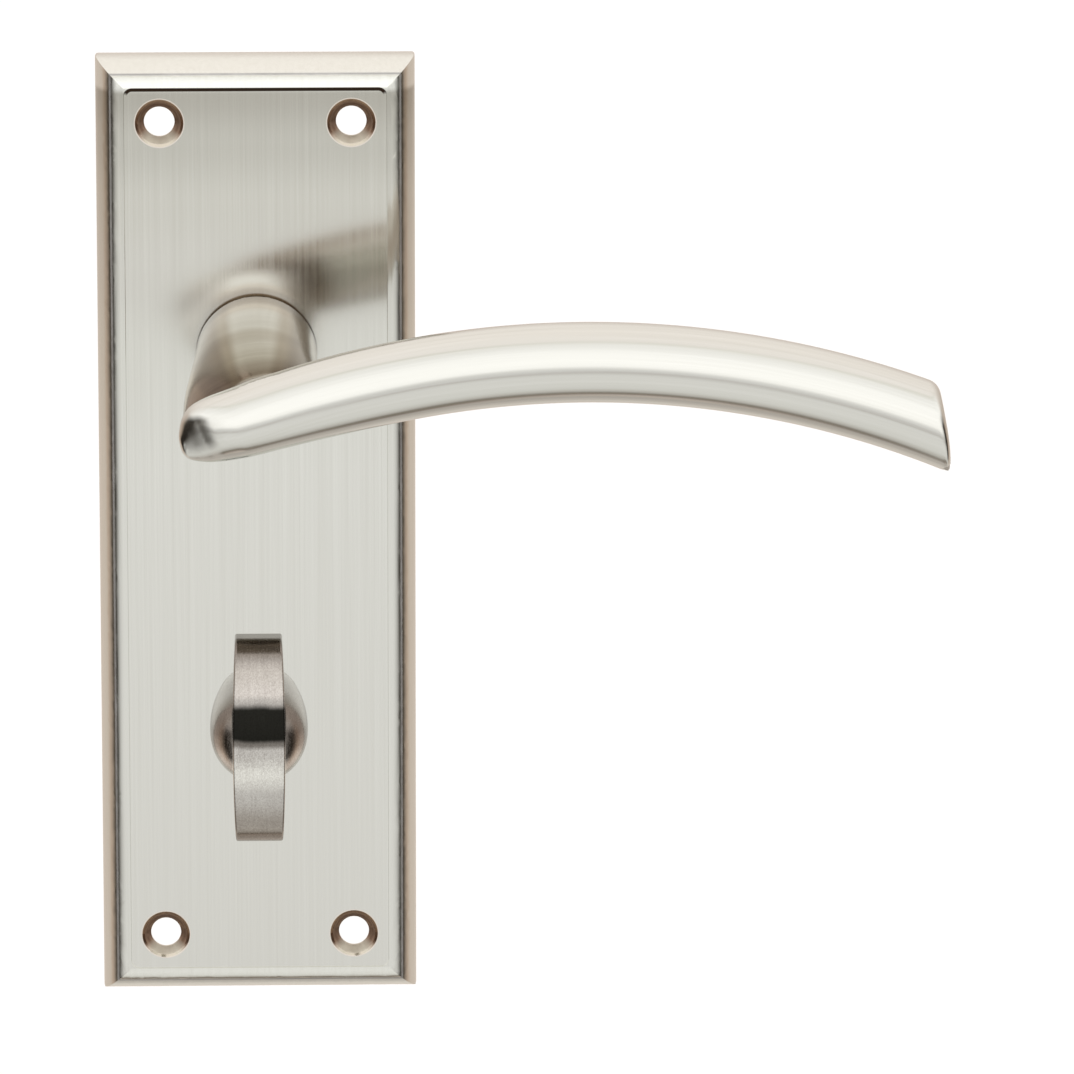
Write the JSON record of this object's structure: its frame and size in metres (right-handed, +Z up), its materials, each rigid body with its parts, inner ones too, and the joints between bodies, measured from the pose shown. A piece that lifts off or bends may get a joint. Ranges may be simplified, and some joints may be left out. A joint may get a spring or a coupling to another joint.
{
  "type": "door lever handle",
  "caption": "Satin nickel arched door lever on a rectangular bathroom backplate with a convex bevel, sprung lever, thumb-turn and square spindles",
  "frame": {"origin": "where the lever's turning axis meets the door face, on the plane of the backplate's rim", "axes": "+X along the lever, +Z up the backplate, +Y into the door; the front faces -Y"},
  "size_m": [0.1315, 0.1292, 0.152],
  "materials": {
    "plate_nickel": "satin nickel, brushed lengthwise",
    "lever_nickel": "satin nickel, brushed",
    "turn_nickel": "satin nickel, fine grained",
    "nylon": "black nylon",
    "zinc_steel": "bright zinc plate",
    "spring_steel": "dark oiled spring steel",
    "black_steel": "black oxide"
  },
  "bodies": {
    "plate": {"backplate": "plate_nickel", "lever_bush": "nylon", "return_spring": "spring_steel", "turn_bush": "nylon"},
    "lever": {"lever_handle": "lever_nickel", "lever_thrust_washer": "zinc_steel", "spring_cam_plate": "zinc_steel", "lever_circlip": "spring_steel", "lever_spindle": "zinc_steel", "lever_grub_screw": "black_steel"},
    "turn": {"thumb_turn": "turn_nickel", "turn_wave_washer": "spring_steel", "turn_washer": "zinc_steel", "turn_circlip": "spring_steel", "turn_spindle": "zinc_steel"}
  },
  "joints": [
    {"name": "lever_press", "type": "hinge", "parent": "plate", "child": "lever", "pos_m": [0, 0, 0], "axis": [0, 1, 0], "range_deg": [0, 45], "stiffness_Nm_per_rad": 0.25, "springref_deg": -57.3, "deforming": ["return_spring"]},
    {"name": "turn_rotate", "type": "hinge", "parent": "plate", "child": "turn", "pos_m": [0, 0, -0.057], "axis": [0, 1, 0], "range_deg": [-90, 90]}
  ]
}
